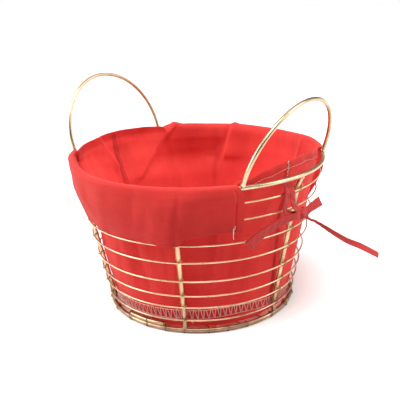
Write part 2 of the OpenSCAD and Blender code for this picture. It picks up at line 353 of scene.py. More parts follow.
def cotton(name, colour, deep, translucency=0.36):
    """Plain-weave cotton: two thread directions, slubs, washed patches and a soft sheen.
    The weave follows the cloth UV map, which is in metres."""
    n = Nodes(bpy.data.materials.new(name))
    uv = n.add("ShaderNodeUVMap", uv_map="cloth").outputs[0]
    threads = n.scaled(uv, (1 / THREAD_PITCH, 1 / THREAD_PITCH, 1))
    split = n.add("ShaderNodeSeparateXYZ")
    n.join(threads, split.inputs[0])
    warp, weft = (n.math("ABSOLUTE", n.math("SINE", n.math("MULTIPLY", way, math.pi)))
                  for way in split.outputs[:2])
    checker = n.add("ShaderNodeTexChecker")
    n.join(threads, checker.inputs["Vector"])
    checker.inputs["Scale"].default_value = 1.0
    over = n.math("MULTIPLY", warp, checker.outputs["Fac"])
    under = n.math("MULTIPLY", weft, n.math("SUBTRACT", 1.0, checker.outputs["Fac"]))
    weave = n.math("ADD", over, under)

    slub_across = n.noise(n.scaled(uv, (30, 1500, 1)), 1.0, 2)
    slub_along = n.noise(n.scaled(uv, (1500, 30, 1)), 1.0, 2)
    slubs = n.math("MULTIPLY", n.math("ADD", slub_across, slub_along), 0.5)
    patches = n.noise(n.scaled(uv, (1, 1, 1)), 22, 4, 0.55)

    tone = n.ramp(patches, [(0.3, deep), (0.7, colour)])
    pale = tuple(min(1.0, c * 1.16 + 0.012) for c in colour)
    slub_mask = n.ramp(slubs, [(0.46, (0, 0, 0)), (0.64, (0.26, 0.26, 0.26))])
    tone = n.mix(slub_mask, tone, pale)
    # painted shade: the colour is darkened in the gaps between the threads of the weave
    thread_gap_shade = n.ramp(weave, [(0.0, (0.2, 0.2, 0.2)), (0.35, (0, 0, 0))])
    tone = n.mix(thread_gap_shade, tone, tuple(c * 0.6 for c in deep))

    n.join(tone, n.shader.inputs["Base Color"])
    fuzz = n.bump(slubs, 0.0003, 0.18)
    normal = n.bump(weave, 0.00012, 0.3, fuzz)
    n.join(normal, n.shader.inputs["Normal"])
    n.shade(Roughness=0.82, Specular_IOR_Level=0.25, Sheen_Weight=0.34, Sheen_Roughness=0.45,
            Sheen_Tint=(1.0, 0.6, 0.55, 1))

    through = n.add("ShaderNodeBsdfTranslucent")
    n.join(tone, through.inputs["Color"])
    n.join(normal, through.inputs["Normal"])
    blend = n.add("ShaderNodeMixShader")
    blend.inputs[0].default_value = translucency
    n.join(n.shader.outputs[0], blend.inputs[1])
    n.join(through.outputs[0], blend.inputs[2])
    n.join(blend.outputs[0], n.tree.nodes["Material Output"].inputs["Surface"])
    return n.owner


def thread_material(name, colour, sheen):
    """Spun sewing thread: a fine twist in the bump and a soft sheen."""
    n = Nodes(bpy.data.materials.new(name))
    place = n.add("ShaderNodeTexCoord").outputs["Object"]
    fibre = n.noise(place, 2600, 3, 0.6)
    tone = n.ramp(fibre, [(0.3, tuple(c * 0.75 for c in colour)), (0.7, colour)])
    n.join(tone, n.shader.inputs["Base Color"])
    n.join(n.bump(fibre, 0.0001, 0.5), n.shader.inputs["Normal"])
    n.shade(Roughness=0.7, Sheen_Weight=sheen)
    return n.owner


GOLD_ROD = brass("gold_rod", (0.64, 0.48, 0.32), (0.48, 0.35, 0.21), (0.24, 0.15, 0.08), 0.18)
GOLD_RIB = brass("gold_rib", (0.68, 0.47, 0.31), (0.48, 0.31, 0.18), (0.22, 0.13, 0.07), 0.26)
GOLD_WIRE = brass("gold_wire", (0.80, 0.56, 0.37), (0.64, 0.42, 0.26), (0.34, 0.21, 0.12), 0.22)
# the lashing wire is painted darker than the other wire: painted shade for the shadows where it
# crosses the ribs and hoops
SHADED_GOLD_LASH = brass("gold_lash_painted_shade", (0.52, 0.36, 0.15), (0.32, 0.20, 0.07), (0.14, 0.08, 0.03), 0.30)
COTTON = cotton("red_cotton", (0.80, 0.056, 0.047), (0.68, 0.034, 0.031))
TIE_COTTON = cotton("red_tie_cotton", (0.66, 0.055, 0.048), (0.50, 0.034, 0.034), 0.08)
SEAM_PINK = thread_material("pink_thread", (0.92, 0.46, 0.40), 0.05)
SEAM_WHITE = thread_material("white_thread", (0.90, 0.68, 0.60), 0.1)
SEAM_RED = thread_material("red_thread", (0.44, 0.018, 0.016), 0.0)
SEAM_HIDDEN = thread_material("matching_thread", (0.70, 0.040, 0.034), 0.0)
SEAM_TONE = thread_material("cloth_thread", (0.60, 0.040, 0.036), 0.0)

# ---------------- camera, light, floor

VIEW_TURN = 38.0  # the camera stands this far round from -Y
VIEW_RISE = 17.945  # degrees above the horizon
VIEW_ROLL = 1.925
VIEW_DISTANCE = 621.2
VIEW_TARGET = Vector((0, 0, 76))
VIEW_SHIFT = (1.12, 22.96)  # right and up, in millimetres at the object
VIEW_LENS = 53.21


def make_camera():
    turn = Matrix.Rotation(math.radians(VIEW_TURN), 3, "Z")
    rise = math.radians(VIEW_RISE)
    roll = math.radians(VIEW_ROLL)
    forward = Vector((0, math.cos(rise), -math.sin(rise)))
    right = Vector((1, 0, 0))
    up = right.cross(forward)
    place = VIEW_TARGET - forward * VIEW_DISTANCE + right * VIEW_SHIFT[0] + up * VIEW_SHIFT[1]
    rolled_right = right * math.cos(roll) - up * math.sin(roll)
    rolled_up = right * math.sin(roll) + up * math.cos(roll)
    axes = Matrix((rolled_right, rolled_up, -forward)).transposed()
    camera = bpy.data.objects.new("camera", bpy.data.cameras.new("camera"))
    camera.data.lens = VIEW_LENS
    camera.data.clip_start = 0.01
    camera.matrix_world = Matrix.Translation(turn @ place * MM) @ (turn @ axes).to_4x4()
    bpy.context.scene.collection.objects.link(camera)
    bpy.context.scene.camera = camera


def make_light(name, azimuth, rise, strength, spread):
    """A soft far light. Azimuth is measured from the camera, and spread is its angular size."""
    a, e = math.radians(azimuth + VIEW_TURN - 90), math.radians(rise)
    direction = Vector((math.cos(a) * math.cos(e), math.sin(a) * math.cos(e), math.sin(e)))
    data = bpy.data.lights.new(name, "SUN")
    data.angle = math.radians(spread)
    data.energy = strength
    lamp = bpy.data.objects.new(name, data)
    lamp.location = direction
    lamp.rotation_euler = direction.to_track_quat("Z", "Y").to_euler()
    bpy.context.scene.collection.objects.link(lamp)


def make_world():
    """A white studio: bright near the horizon, dimmer overhead, and a dark room behind
    the camera, which gives polished rods their dark middle line."""
    n = Nodes(bpy.data.worlds.new("studio"))
    place = n.add("ShaderNodeTexCoord").outputs["Generated"]
    split = n.add("ShaderNodeSeparateXYZ")
    n.join(place, split.inputs[0])
    # 0 straight down, 0.5 at the horizon, 1 straight up
    height = n.math("ADD", n.math("MULTIPLY", split.outputs[2], 0.5), 0.5)
    levels = [(0.0, 0.95), (0.43, 0.95), (0.45, 1.0), (0.54, 1.0), (0.60, 0.26), (0.80, 0.26),
              (0.93, 0.85)]
    sky = n.ramp(height, [(at, (level, level * 0.995, level * 0.985)) for at, level in levels])
    toward = n.add("ShaderNodeVectorMath", operation="DOT_PRODUCT")
    n.join(place, toward.inputs[0])
    a = math.radians(VIEW_TURN - 90)
    toward.inputs[1].default_value = (math.cos(a) * 0.90, math.sin(a) * 0.90, 0.44)
    room = n.ramp(toward.outputs["Value"], [(0.30, (1, 1, 1)), (0.82, (0.55, 0.55, 0.53)),
                                            (0.93, (0.10, 0.10, 0.08))])
    both = n.mix(1.0, sky, room, "MULTIPLY")
    # the horizon itself stays white all round
    black, white = (0, 0, 0), (1, 1, 1)
    band = n.ramp(height, [(0.44, black), (0.455, white), (0.545, white), (0.565, black)])
    background = n.tree.nodes["Background"]
    n.join(n.mix(1.0, both, band, "LIGHTEN"), background.inputs[0])
    background.inputs[1].default_value = 1.0
    bpy.context.scene.world = n.owner


def make_studio():
    make_world()
    make_light("key_left", -86, 28, 2.7, 40)
    make_light("fill_right", 86, 30, 1.35, 40)
    make_light("top_front", -14, 73, 2.8, 40)

    paint = Nodes(bpy.data.materials.new("pale_floor"))
    paint.shade(Base_Color=(0.97, 0.97, 0.965, 1), Roughness=0.9)
    far = 60000  # so that the floor reaches the horizon from every side
    corners = [Vector((x, y, -0.1)) for x, y in ((-far, -far), (far, -far), (far, far), (-far, far))]
    floor = make_mesh("floor", corners, [(0, 1, 2, 3)], paint.owner, smooth=False)
    # no light bounces from the floor to the basket: the world's lower half stands for it
    floor.visible_diffuse = False

    bpy.context.scene.view_settings.view_transform = "Standard"


make_camera()
make_studio()

# ---------------- ribbons


def lie_out(p):
    """Straight out from the basket's axis."""
    return Vector((p.x, p.y, 0)).normalized()


def ribbon_frames(line, twist=None):
    """Side and outward direction at each point of a ribbon lying flat on the basket.
    twist turns it about its own line, in degrees from its start to its end."""
    out = []
    count = len(line)
    for i, p in enumerate(line):
        t = (line[min(i + 1, count - 1)] - line[max(i - 1, 0)]).normalized()
        side = t.cross(lie_out(p)).normalized()
        up = side.cross(t)
        if twist is not None:
            turn = Matrix.Rotation(math.radians(twist(i / (count - 1))), 3, t)
            side, up = turn @ side, turn @ up
        out.append((side, up))
    return out


def ribbon_mesh(name, line, frames, width, thickness, material, cup=0.0, seed=1):
    """A folded cotton strip swept along a line: two layers with a soft hollow between
    their stitched edge and their fold. width is a number or a function of the share
    along it, and cup curls its edges outward."""
    rng = random.Random(seed)
    phase = rng.uniform(0, 6)
    sides = 20
    verts, uvs = [], []
    run = 0.0
    count = len(line)
    for i, (p, (side, up)) in enumerate(zip(line, frames)):
        if i:
            run += (p - line[i - 1]).length
        share = i / (count - 1)
        w = width(share) if callable(width) else width
        for k in range(sides):
            angle = 2 * math.pi * k / sides
            c, s = math.cos(angle), math.sin(angle)
            across = math.copysign(abs(c) ** 0.7, c)
            dent = 1 - 0.28 * bell(across, 0.1, 0.5)
            ripple = 1 + 0.16 * math.sin(run * 0.55 + phase + across * 1.5)
            x = across * w / 2
            y = s * thickness / 2 * dent * ripple + cup * across * across
            y += 0.18 * math.sin(run * 0.8 + phase * 2 + across * 3)
            verts.append(p + side * x + up * y)
            uvs.append((x * MM + (0.02 if s < 0 else 0), run * MM))
    faces = grid_faces(count, sides, flip=True)
    faces.append(tuple(reversed(range(sides))))
    faces.append(tuple((count - 1) * sides + k for k in range(sides)))
    return make_mesh(name, verts, faces, material, uvs)


# ---------------- long tails, which hang free

TAIL_WIDTH = 6.0
TAIL_RIGHT = [
    (-4, 128.6, 110), (-1.5, 128, 105.5), (2, 131, 101), (5.5, 135.5, 94.5),
    (9.7, 143, 85), (13.8, 153, 75), (17.4, 164, 67), (21.4, 181, 54),
]
TAIL_LEFT = [
    (176.6, 127.2, 109.6), (174.6, 127.6, 105.6), (173.4, 126.4, 97),
    (172.6, 124.4, 86), (171.8, 122.4, 75), (171.4, 119.6, 63), (171.8, 116.8, 51),
    (172.4, 114.4, 39), (172.8, 112.6, 27.6),
]


def long_tail(name, node, route, twist, width):
    line = spline([polar(*p) for p in route], 10)
    frames = ribbon_frames(line, twist)
    tail = ribbon_mesh(name, line, frames, width, 1.5, TIE_COTTON, 0.35, seed=len(name))
    finish_piece(tail, "tie_cotton", node)


long_tail("tie_right_tail", "tie_right_long_tail", TAIL_RIGHT,
          lambda s: 62 * (1 - smooth_step(s, 0.35, 1.0)) + 8 * math.sin(s * 9),
          lambda s: TAIL_WIDTH * (0.62 + 0.38 * smooth_step(s, 0.3, 0.95)))
long_tail("tie_left_tail", "tie_left_long_tail", TAIL_LEFT,
          lambda s: 18 * math.sin(s * 5), lambda s: TAIL_WIDTH)

# ---------------- frame


def repaint(material, *nodes):
    """Give CAD nodes that stay in sight a material and smooth shading."""
    for name in nodes:
        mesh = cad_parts[name].data
        for i in range(len(mesh.materials)):
            mesh.materials[i] = material
        mesh.polygons.foreach_set("use_smooth", [True] * len(mesh.polygons))


repaint(GOLD_ROD, "rim_ring")
repaint(GOLD_RIB, "base_ring")
repaint(GOLD_WIRE, *[f"hoop_{i}" for i in range(1, 9)], "base_wires_lower", "base_wires_upper")
# the base lashing is painted the same darker colour, as painted shade
repaint(SHADED_GOLD_LASH, "base_lashing")


def rounded_path(corners, radius, steps=8):
    """Straight runs between corners, with a round bend at each inner corner."""
    out = [corners[0]]
    for a, b, c in zip(corners, corners[1:], corners[2:]):
        u, v = (a - b).normalized(), (c - b).normalized()
        half = u.angle(v) / 2
        cut = min(radius / math.tan(half), (a - b).length * 0.45, (c - b).length * 0.45)
        start, end = b + u * cut, b + v * cut
        for k in range(steps + 1):
            t = k / steps
            out.append(start.lerp(b, t).lerp(b.lerp(end, t), t))
    out.append(corners[-1])
    return out


def dense(line, step):
    """The same line with points no further apart than step."""
    out = [line[0]]
    for a, b in zip(line, line[1:]):
        count = max(1, round((b - a).length / step))
        out.extend(a.lerp(b, k / count) for k in range(1, count + 1))
    return out


BRAZE_SPREAD = 0.85  # added to a rod's radius at its brazed end
BRAZE_RUN = 1.5  # how far along the rod that fades
END_GAP = 0.6 * ROD_R  # from a rod's end to the middle of the rod it is brazed to


def brazed_rod(name, line, node, material):
    """A round rod whose two ends spread into a small braze fillet."""
    line = dense(line, 0.9)
    lengths = [0.0]
    for a, b in zip(line, line[1:]):
        lengths.append(lengths[-1] + (b - a).length)
    total = lengths[-1]
    radii = []
    for s in lengths:
        end = min(s, total - s)
        # the very tip narrows, so that it hides inside the rod it is brazed to
        tip = 0.5 if end < 0.1 else 1.0
        radii.append(tip * (ROD_R + BRAZE_SPREAD * math.exp(-((end / BRAZE_RUN) ** 2))))
    builder = Builder()
    builder.tube(line, radii, 24)
    return finish_piece(builder.make(name, material), "frame_rod", node)


def make_rib(i):
    a = RIB_ANGLES[i]
    foot, low = polar(a, BASE_R, BASE_Z), polar(a, rib_r(12), 12)
    high, top = polar(a, rib_r(136), 136), polar(a, RIM_R, RIM_Z)
    foot = foot + (low - foot).normalized() * END_GAP
    top = top + (high - top).normalized() * END_GAP
    path = rounded_path([foot, low, high, top], 9)
    brazed_rod(f"rib_rod_{i + 1}", path, f"rib_{i + 1}", GOLD_RIB)


def make_handle(side, half, rise, leg, lean, turn):
    """An arch on two short legs, leaning outward about the line through its feet."""
    x0 = math.sqrt(RIM_R ** 2 - half ** 2)
    slope = math.radians(lean)
    line = [(END_GAP, -half)]
    line += [(leg + (rise - leg) * math.cos(math.radians(t)), half * math.sin(math.radians(t)))
             for t in range(-90, 91, 2)]
    line.append((END_GAP, half))
    turned = Matrix.Rotation(math.radians(turn), 3, "Z")
    points = [turned @ Vector((x0 + v * math.sin(slope), y, RIM_Z + v * math.cos(slope)))
              for v, y in line]
    brazed_rod(f"handle_rod_{side}", points, f"handle_{side}", GOLD_ROD)


for index in range(6):
    make_rib(index)
make_handle("right", 72, 68, 5, 19.5, -0.1)
make_handle("left", 66, 79, 12.8, 16.5, 180.7)


def make_lashing(i):
    """One wire up the side of a rib, hitched over every hoop and round the rib."""
    rng = random.Random(40 + i)
    a = RIB_ANGLES[i]
    outward = polar(a, 1, 0)
    around = Vector((-outward.y, outward.x, 0))
    hitch = [
        (-1.3, -2.5, -5.5), (0.3, -2.9, -3.6), (2.6, -2.5, -2.2), (4.1, -0.9, -0.8),
        (4.1, 0.9, 0.8), (2.5, 2.5, 2.1), (0.2, 2.7, 2.9), (-2.2, 1.7, 2.9),
        (-2.6, 0.0, 2.2), (-2.2, -1.7, 1.6), (-0.6, -2.7, 2.4), (-1.3, -2.5, 5.0),
    ]
    points = []
    for z in reversed(HOOP_Z):
        skew = rng.uniform(0.85, 1.15)
        for d, t, h in hitch:
            height = z + h * skew
            points.append(polar(a, rib_r(height) + d, height) + around * t)
    builder = Builder()
    builder.tube(spline(points, 5), LASH_R, 8)
    # a twisted end sticks out at the top hoop
    top = polar(a, rib_r(HOOP_Z[0]) + 3.8, HOOP_Z[0] + 1)
    end = [top, top + outward * 0.9 + around * 1.6 + Vector((0, 0, 1.8)),
           top + outward * 0.8 + around * 1.0 + Vector((0, 0, 4.2))]
    builder.tube(spline(end, 6), LASH_R, 8)
    finish_piece(builder.make(f"lashing_wire_{i + 1}", SHADED_GOLD_LASH), "lashing_wire",
                 f"rib_lashing_{i + 1}")


for index in range(6):
    make_lashing(index)

# ---------------- liner

SEAM_RIGHT = -11.0
SEAM_LEFT = 178.0
FRONT_CUFF = (-145.4, -37.3)
BACK_CUFF = (37.1, 146.8)
SLIT_Z = 143.0
FOOT_Z = 4.4
HEM_BAND = 8.0  # width of the folded hem
SPLIT_ROWS = 66
WEAVE_R = 108  # one radius for all the weave, which turns angles into lengths
BOTTOM_R = 90.4

WALL_KEYS = [
    (4.4, 89.6), (8, 90.2), (16, 91.6), (25, 93.2), (34, 95.2), (57, 97.6), (77, 99.8),
    (105, 105), (128, 112), (143, 116.6),
]
# (height, how far inward the wall hangs) in the back wall's hollow: below 0 is outward
HOLLOW_KEYS = [(80, 0), (90, 0), (103, 0.4), (121, -3.2), (134, 0), (146, 3.0)]
# heights of the standing hems' top edges, round the liner
HEM_TOP = [
    (-212, 160), (-197, 160.5), (-180, 160.5), (-165, 159.5), (-154, 158.5), (-145, 157),
    (-38, 150.5), (-31.8, 153.6), (-22.3, 158.6), (-11, 162.4), (3, 163), (15, 160),
    (24, 156), (37.5, 152), (146, 156), (150, 158), (160, 159.5), (175, 160.5), (215, 158),
]
# the cuffs: height of the fold's top, height of the lower edge and its radius
FOLD_TOP = [
    (-146, 156), (-131, 156.5), (-111, 155.2), (-100, 152.4), (-86, 151.4), (-62, 151.2),
    (-45, 151.2), (-36.4, 151.0), (36, 152.6), (56, 155.4), (72, 154.8), (87, 155.6),
    (103, 156.8), (106.4, 158.8), (109.5, 156.8), (120, 156.8), (135, 157.8), (140.8, 160.8),
    (143.6, 158), (147, 156),
]
EDGE_Z = [
    (-146, 95), (-131, 95), (-116, 98), (-108, 101), (-103, 99.6), (-98, 100.6), (-85, 100.4),
    (-73, 99.2), (-65, 98.2), (-60.5, 98.6), (-58.6, 104.2), (-54, 107), (-46, 108.6),
    (-36, 108.6), (37, 101), (50, 103), (75, 101), (100, 104), (125, 100), (147, 102),
]
EDGE_R = [
    (-146, 116), (-131, 115.5), (-112, 117), (-98, 119), (-80, 120.6), (-62, 120.6),
    (-46, 121.4), (-36, 123), (26, 113), (37, 113.5), (52, 119), (75, 121), (100, 120.6),
    (125, 120.6), (147, 118.5),
]

ripple_low = wave_noise(3, 5, 5, 11)
ripple_mid = wave_noise(8, 6, 14, 27)
ripple_fine = wave_noise(21, 6, 30, 60)


def kink(gap, before, after):
    """A sharp fold: 1 where gap is 0, falling straight to 0 at -before and at after."""
    return max(0.0, 1 + gap / before) if gap < 0 else max(0.0, 1 - gap / after)


def hollow_sides(wrapped, z):
    """Degrees past the long slanting fold and past the short one, into the hollow that
    they enclose in the back wall."""
    long_fold = 160.3 - 0.475 * (z - 119)
    short_fold = 111.2 - 0.122 * (z - 119)
    return long_fold - wrapped, wrapped - short_fold


def inner_folds(angle, z):
    """Sharp folds on the inside that run up to the top edge, inward in millimetres."""
    wrapped = wrap(angle)
    if 80 < wrapped < 180:
        past_left, past_right = hollow_sides(wrapped, z)
        return (4.8 * smooth_step(z, 96, 110) * kink(past_left, 16, 2.0)
                + 4.2 * smooth_step(z, 114, 124) * kink(past_right, 20, 1.8))
    if wrapped < -150:
        past = wrapped + 177.5 - 0.36 * (z - 131)
        return 4.0 * smooth_step(z, 112, 126) * kink(past, 2.0, 14)
    return 0.0


def wall_slack(angle, z):
    """How far the wall hangs inward of its middle line, in millimetres."""
    high = smooth_step(z, 10, 60)
    d = 1.3 * ripple_low(angle) * high
    d += 0.9 * ripple_mid(angle + z * 0.10) * smooth_step(z, 14, 50)
    d += 0.35 * ripple_fine(angle - z * 0.06) * smooth_step(z, 18, 40)
    wrapped = wrap(angle)
    if 92 < wrapped < 180:
        # the hollow under the rim, and two soft upright folds below it
        past_left, past_right = hollow_sides(wrapped, z)
        hollow = smooth_step(past_left, 0, 4) * smooth_step(past_right, 0, 4)
        if z > 80:
            d += hollow * keyed_line(z, HOLLOW_KEYS)
        below = smooth_step(z, 50, 70) * (1 - smooth_step(z, 112, 121))
        d += 3.0 * kink(wrapped - 118.2, 1.6, 12) * below
        d += 1.6 * kink(wrapped - 139, 9, 4) * smooth_step(z, 40, 70) * (1 - smooth_step(z, 100, 116))
    # an upright crease in the back, towards the right
    aside = abs(wrapped - keyed(z, [(118, 57), (153, 56.4)])) / 2.6
    d += 3.4 * smooth_step(z, 110, 122) * (1 - smooth_step(z, 151, 161)) * math.exp(-aside)
    if -100 < wrapped < -20:
        # soft upright folds in the front, below the cuff
        body = smooth_step(z, 24, 46)
        d -= 4.2 * body * kink(wrapped - keyed(z, [(26, -56), (84, -58.5), (104, -62.5)]), 12, 16)
        d -= 2.2 * body * kink(wrapped - keyed(z, [(26, -49), (100, -44)]), 3, 9)
        d += 2.4 * body * kink(wrapped - keyed(z, [(30, -83), (90, -88)]), 9, 6)
    # the standing hem and the far end of the front cuff lean out to the rim
    d -= 4.4 * bell(wrapped, -141, 17) * smooth_step(z, 112, 140)
    # seams pull a narrow ridge
    for seam in (SEAM_RIGHT, SEAM_LEFT):
        d += 0.9 * bell(wrap(angle - seam), 0, 0.9)
    return d


def seam_drift(angle, z):
    """How far the cloth by the side seams has slipped round, in degrees."""
    right = bell(wrap(angle - SEAM_RIGHT), 0, 9)
    left = bell(wrap(angle - SEAM_LEFT), 0, 9)
    return right * keyed(z, [(80, 4.5), (112, 1.6), (134, 1.6), (150, 0)]) + 2.5 * left


def wall_point(angle, z):
    """A point on the liner's wall. It stays inside the hoops, and clear of the ribs and
    their lashing."""
    r = keyed_line(z, WALL_KEYS) + 7.0 * bell(angle, 30, 24) * bell(z, 88, 48)
    r += 3.6 * bell(angle, -128, 20) * bell(z, 62, 34)
    place = angle + seam_drift(angle, z)
    beside_rib = min(abs(wrap(place - rib)) for rib in RIB_ANGLES)
    limit = rib_r(z) - ROD_R - 1.6 + 4.4 * smooth_step(beside_rib, 6, 16)
    slack = wall_slack(angle, z) + inner_folds(angle, z)
    return polar(place, min(r - slack, limit), z)


def cuff_profile(angle):
    """Points (radius, height) of a cuff from the slit's height over the rim to its
    lower edge, then round the edge and up the back of the folded hem."""
    top = keyed(angle, FOLD_TOP)
    low, low_r = keyed(angle, EDGE_Z), keyed(angle, EDGE_R)
    start = wall_point(angle, SLIT_Z)
    start_r = math.hypot(start.x, start.y) + inner_folds(angle, SLIT_Z)
    swell = 0.7 * ripple_mid(angle) + 0.5 * ripple_low(angle * 1.3)
    swell -= 2.0 * (1 - smooth_step(angle, -124, -104))
    # the front cuff's far end stands as far out as the hem that starts beside it
    far = bell(angle, FRONT_CUFF[0], 9)
    return [
        (start_r, SLIT_Z),
        (start_r + 1.3 - 1.1 * far, SLIT_Z + (top - SLIT_Z) * 0.45),
        (start_r + 3.6 - 3.2 * far, top - 2.6),
        (122.8, top - 0.3),
        (126.2, top),
        (128.0, top - 0.9),
        (128.8 + swell * 0.4, top - 3.0),
        (129.0 + swell * 0.6, top - 8.0),
        (128.6 + swell, 140),
        (127.4 + swell, 128),
        (low_r + (127 - low_r) * 0.55 + swell, low + (122 - low) * 0.62),
        (low_r + swell * 0.6, low),
    ]


def cuff_fold(angle, share):
    """Folds pressed into a cuff's outer face, outward in millimetres."""
    d = 0.35 * ripple_fine(angle + share * 5) + 0.5 * ripple_mid(angle + share * 14)
    # a band turned in along each slit
    for end, sign in zip(FRONT_CUFF + BACK_CUFF, (1, -1, 1, -1)):
        gap = (angle - end) * sign
        if -0.1 < gap < 8:
            depth = 1.1 + 1.5 * smooth_step(share, 0.15, 0.4)
            d -= 0.6 * (1 - smooth_step(gap, 2.3, 2.6)) + depth * bell(gap, 2.6, 0.22)
    if -80 < angle < -45:
        # a pleat near the front: the cloth on its left laps over the cloth on its right
        middle = -60.4 - 2.6 * share
        step = smooth_step(middle - angle, -0.5, 0.5)
        ridge = max(0.0, 1 - abs(angle - middle) / 17)
        d += 3.4 * ridge + 0.8 * step * bell(angle, middle - 3, 6)
        d -= 0.9 * bell(angle, middle + 1.0, 1.3)
    if angle < -95:
        d += 0.9 * bell(angle, -112 + 12 * share, 4) - 0.8 * bell(angle, -121 + 8 * share, 3)
    if angle > 30:
        d += 0.8 * bell(angle, 58 + 3 * share, 3) + 0.9 * bell(angle, 109, 3)
        d -= 0.8 * bell(angle, 142, 3)
    return d


def resample(points, count):
    """A smooth line through (radius, height) points, cut into count equal steps."""
    line = spline([Vector((r, 0, z)) for r, z in points], 12)
    lengths = [0.0]
    for a, b in zip(line, line[1:]):
        lengths.append(lengths[-1] + (b - a).length)
    out, j = [], 0
    for k in range(count + 1):
        want = lengths[-1] * k / count
        while j < len(line) - 2 and lengths[j + 1] < want:
            j += 1
        t = (want - lengths[j]) / max(lengths[j + 1] - lengths[j], 1e-9)
        out.append(line[j].lerp(line[j + 1], t))
    return out


CUFF_ROWS = 60
HEM_ROWS = 16
FOLD_BACK = 5


def cuff_column(angle):
    """Points of one column of a cuff, edge hem included, above the slit's height."""
    line = resample(cuff_profile(angle), CUFF_ROWS)
    # the front cuff's right end hangs a little past the handle's foot
    right_end = smooth_step(angle, -46, FRONT_CUFF[1]) if angle < 0 else 0.0
    out = []
    for k, p in enumerate(line[1:], 1):
        part = k / CUFF_ROWS
        share = smooth_step(part, 0.28, 1.0)
        grow = cuff_fold(angle, share) * smooth_step(part, 0.2, 0.45)
        grow -= inner_folds(angle, p.z) * (1 - smooth_step(part, 0.10, 0.24))
        sink = 2.0 * bell(angle, -110, 7) * bell(part, 0.16, 0.035)
        swing = 2.6 * right_end * smooth_step(part, 0.22, 0.42)
        out.append(polar(angle + swing, p.x + grow, p.z - sink))
    # the hem is folded to the hidden side and runs back up
    edge, before = out[-1], out[-4]
    up = (before - edge).normalized()
    inward = -lie_out(edge)
    out.append(edge + inward * 0.5 - up * 0.25)
    for k in range(1, FOLD_BACK):
        out.append(edge + inward * 1.0 + up * (HEM_BAND * k / (FOLD_BACK - 1)))
    return out


def hem_column(angle):
    """Points of one column of a standing hem, with its band folded to the outer face."""
    wrapped = angle if angle > -220 else angle + 360
    top = keyed(wrapped, HEM_TOP)
    start = wall_point(angle, SLIT_Z)
    r = math.hypot(start.x, start.y) + inner_folds(angle, SLIT_Z)
    bend = 0.8 * ripple_mid(angle * 1.2) + 0.4 * ripple_fine(angle)
    # the far cuff's end pulls the hem beside it outward
    flare = 118.2 + 2.4 * bell(wrapped, FRONT_CUFF[0], 9)
    out = []
    for k in range(1, HEM_ROWS + 1):
        t = k / HEM_ROWS
        z = SLIT_Z + (top - SLIT_Z) * t
        place = r + (flare - r) * smooth_step(t, 0, 0.7) + bend * t * t
        place -= inner_folds(angle, z) * (1 - 0.6 * t)
        # by the front cuff's far end the hem laps inside the cuff's roll
        lap = 4.6 * smooth_step(t, 0, 0.35) * bell(wrapped, FRONT_CUFF[0], 5)
        out.append(polar(angle + seam_drift(angle, z) + lap, place - 0.25 * lap, z))
    edge = out[-1]
    outward = lie_out(edge)
    out.append(edge + outward * 0.55 + Vector((0, 0, 0.25)))
    for k in range(1, FOLD_BACK):
        drop = HEM_BAND * k / (FOLD_BACK - 1)
        out.append(edge + outward * (1.1 if k < FOLD_BACK - 1 else 0.9) - Vector((0, 0, drop)))
    return out


def panel_angles(a0, a1, c0, c1, step=0.75):
    """Columns of a panel, with one exactly at each slit."""
    stops = [a0, c0, c0 + 4.5, c1 - 4.5, c1, a1]
    out = [a0]
    for low, high in zip(stops, stops[1:]):
        size = 0.15 if high - low < 5 else step
        count = max(1, round((high - low) / size))
        out.extend(low + (high - low) * k / count for k in range(1, count + 1))
    return out


def make_panel(name, node, a0, a1, cuff):
    """One liner panel: a wall, a cuff turned out over the rim, and standing hems."""
    angles = panel_angles(a0, a1, cuff[0], cuff[1])
    rows = [FOOT_Z + (SLIT_Z - FOOT_Z) * k / SPLIT_ROWS for k in range(SPLIT_ROWS + 1)]
    verts, uvs = [], []
    for angle in angles:
        for z in rows:
            verts.append(wall_point(angle, z))
            uvs.append((math.radians(angle) * WEAVE_R * MM, z * MM))
    height = len(rows)
    faces = grid_faces(len(angles), height, close_columns=False)

    def stretch(columns, column):
        """Upper rows over some of the columns, joined to the wall's top row."""
        before = None
        for i in columns:
            points = column(angles[i])
            first = len(verts)
            verts.extend(points)
            run, last = SLIT_Z, verts[i * height + height - 1]
            for p in points:
                run += (p - last).length
                last = p
                uvs.append((math.radians(angles[i]) * WEAVE_R * MM, run * MM))
            ids = [i * height + height - 1] + list(range(first, first + len(points)))
            if before is not None:
                for k in range(len(ids) - 1):
                    faces.append((before[k], ids[k], ids[k + 1], before[k + 1]))
            before = ids

    low = [i for i, a in enumerate(angles) if a <= cuff[0] + 1e-6]
    middle = [i for i, a in enumerate(angles) if cuff[0] - 1e-6 <= a <= cuff[1] + 1e-6]
    high = [i for i, a in enumerate(angles) if a >= cuff[1] - 1e-6]
    stretch(low, hem_column)
    stretch(middle, cuff_column)
    stretch(high, hem_column)
    panel = make_mesh(name, verts, faces, COTTON, uvs)
    return finish_piece(panel, "liner_cotton", node)


front = make_panel("liner_front", "liner_front_panel", SEAM_LEFT - 360, SEAM_RIGHT, FRONT_CUFF)
back = make_panel("liner_back", "liner_back_panel", SEAM_RIGHT, SEAM_LEFT, BACK_CUFF)


